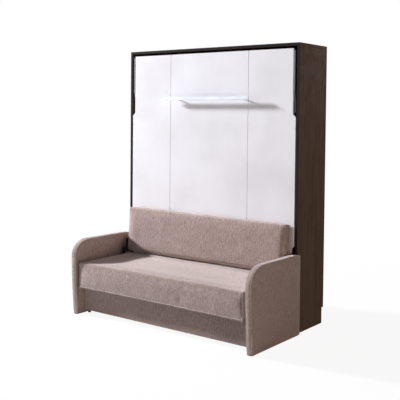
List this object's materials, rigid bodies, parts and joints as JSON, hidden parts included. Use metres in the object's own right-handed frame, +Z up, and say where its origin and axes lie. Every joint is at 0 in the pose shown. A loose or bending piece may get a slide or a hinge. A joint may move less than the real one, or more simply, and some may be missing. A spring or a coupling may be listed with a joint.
{
  "type": "wall bed with sofa",
  "caption": "Tall cabinet with a fold-down double bed whose white front passes over a low sofa with two upholstered arms; the seat sinks and the backrest folds as it opens.",
  "frame": {"origin": "centre of the base on the floor, midway between the sofa's front and the cabinet's back", "axes": "+Z up, -Y towards the room, +X to the right for someone who stands in front of the sofa and faces it"},
  "size_m": [1.77, 1.105, 2.2],
  "materials": {
    "cabinet_board": "dark walnut-look melamine, satin",
    "back_board": "brown hardboard, matt",
    "front_board": "white melamine, smooth satin",
    "bed_timber": "planed pale softwood",
    "slat_plywood": "birch plywood",
    "upholstery": "heathered taupe upholstery cloth",
    "mattress_ticking": "off-white knitted ticking",
    "strap_webbing": "grey woven webbing",
    "handle_metal": "satin anodised",
    "plated_steel": "zinc plated",
    "leg_metal": "grey powder coat",
    "black_plastic": "moulded, matt"
  },
  "bodies": {
    "root": {"top_panel": "cabinet_board", "side_panel_left": "cabinet_board", "side_panel_right": "cabinet_board", "back_panel": "back_board", "wall_fixing_rail": "cabinet_board", "lower_rear_rail": "cabinet_board", "bottom_panel": "cabinet_board", "plinth_front": "cabinet_board", "plinth_rear": "cabinet_board", "pivot_plate_left": "plated_steel", "pivot_plate_right": "plated_steel", "spring_plate_left": "plated_steel", "spring_plate_right": "plated_steel", "arm_left": "upholstery", "arm_right": "upholstery", "arm_tie_plate_left": "plated_steel", "arm_tie_plate_right": "plated_steel", "apron": "upholstery", "base_rail_left": "bed_timber", "base_rail_right": "bed_timber", "base_rail_rear": "bed_timber", "guide_rod_front_left": "plated_steel", "guide_rod_front_right": "plated_steel", "guide_rod_rear_left": "plated_steel", "guide_rod_rear_right": "plated_steel"},
    "bed": {"bed_board_left": "front_board", "bed_board_middle": "front_board", "bed_board_right": "front_board", "side_rail_left": "bed_timber", "side_rail_right": "bed_timber", "foot_rail": "bed_timber", "head_rail": "bed_timber", "slat_base": "slat_plywood", "mattress": "mattress_ticking", "mattress_ledge_foot": "bed_timber", "mattress_ledge_head": "bed_timber", "mattress_strap": "strap_webbing", "bed_hinge_plate_left": "plated_steel", "bed_hinge_plate_right": "plated_steel", "handle_bar": "handle_metal", "handle_post_left": "handle_metal", "handle_post_right": "handle_metal", "leg_plate_left": "plated_steel", "leg_plate_right": "plated_steel"},
    "leg_left": {"leg_left": "leg_metal"},
    "leg_right": {"leg_right": "leg_metal"},
    "gas_barrel_left": {"gas_barrel_left": "black_plastic"},
    "gas_barrel_right": {"gas_barrel_right": "black_plastic"},
    "gas_rod_left": {"gas_rod_left": "plated_steel"},
    "gas_rod_right": {"gas_rod_right": "plated_steel"},
    "seat": {"seat_cushion": "upholstery", "seat_board": "slat_plywood", "seat_slide_left": "black_plastic", "seat_slide_right": "black_plastic", "backrest_bracket_left": "plated_steel", "backrest_bracket_right": "plated_steel"},
    "backrest": {"backrest_cushion": "upholstery", "backrest_end_plate_left": "plated_steel", "backrest_end_plate_right": "plated_steel"}
  },
  "joints": [
    {"name": "bed_tilt", "type": "hinge", "parent": "root", "child": "bed", "pos_m": [0, 0.1575, 0.475], "axis": [1, 0, 0], "range_deg": [0, 90]},
    {"name": "leg_left_fold", "type": "hinge", "parent": "bed", "child": "leg_left", "pos_m": [-0.8053, 0.1525, 1.68], "axis": [1, 0, 0], "range_deg": [0, 90]},
    {"name": "leg_right_fold", "type": "hinge", "parent": "bed", "child": "leg_right", "pos_m": [0.8053, 0.1525, 1.68], "axis": [1, 0, 0], "range_deg": [0, 90]},
    {"name": "seat_lower", "type": "slide", "parent": "root", "child": "seat", "axis": [0, 0, -1], "range_m": [0, 0.118]},
    {"name": "backrest_fold", "type": "hinge", "parent": "seat", "child": "backrest", "pos_m": [0, 0.0065, 0.474], "axis": [1, 0, 0], "range_deg": [0, 95]},
    {"name": "gas_left_swing", "type": "hinge", "parent": "root", "child": "gas_barrel_left", "pos_m": [-0.809, 0.2025, 0.78], "axis": [1, 0, 0], "range_deg": [0, 29.7]},
    {"name": "gas_left_slide", "type": "slide", "parent": "gas_barrel_left", "child": "gas_rod_left", "axis": [0, 0.0404, 0.9992], "range_m": [0, 0.181]},
    {"name": "gas_right_swing", "type": "hinge", "parent": "root", "child": "gas_barrel_right", "pos_m": [0.809, 0.2025, 0.78], "axis": [1, 0, 0], "range_deg": [0, 29.7]},
    {"name": "gas_right_slide", "type": "slide", "parent": "gas_barrel_right", "child": "gas_rod_right", "axis": [0, 0.0404, 0.9992], "range_m": [0, 0.181]}
  ],
  "couplings": [
    {"joint": "leg_left_fold", "follows": "bed_tilt", "ratio": 1},
    {"joint": "leg_right_fold", "follows": "bed_tilt", "ratio": 1},
    {"joint": "seat_lower", "follows": "bed_tilt", "m_per_rad": 0.0751},
    {"joint": "backrest_fold", "follows": "bed_tilt", "ratio": 1.0555},
    {"joint": "gas_left_swing", "follows": "bed_tilt", "ratio": 0.32989},
    {"joint": "gas_left_slide", "follows": "bed_tilt", "m_per_rad": 0.11466},
    {"joint": "gas_right_swing", "follows": "bed_tilt", "ratio": 0.32989},
    {"joint": "gas_right_slide", "follows": "bed_tilt", "m_per_rad": 0.11466}
  ]
}
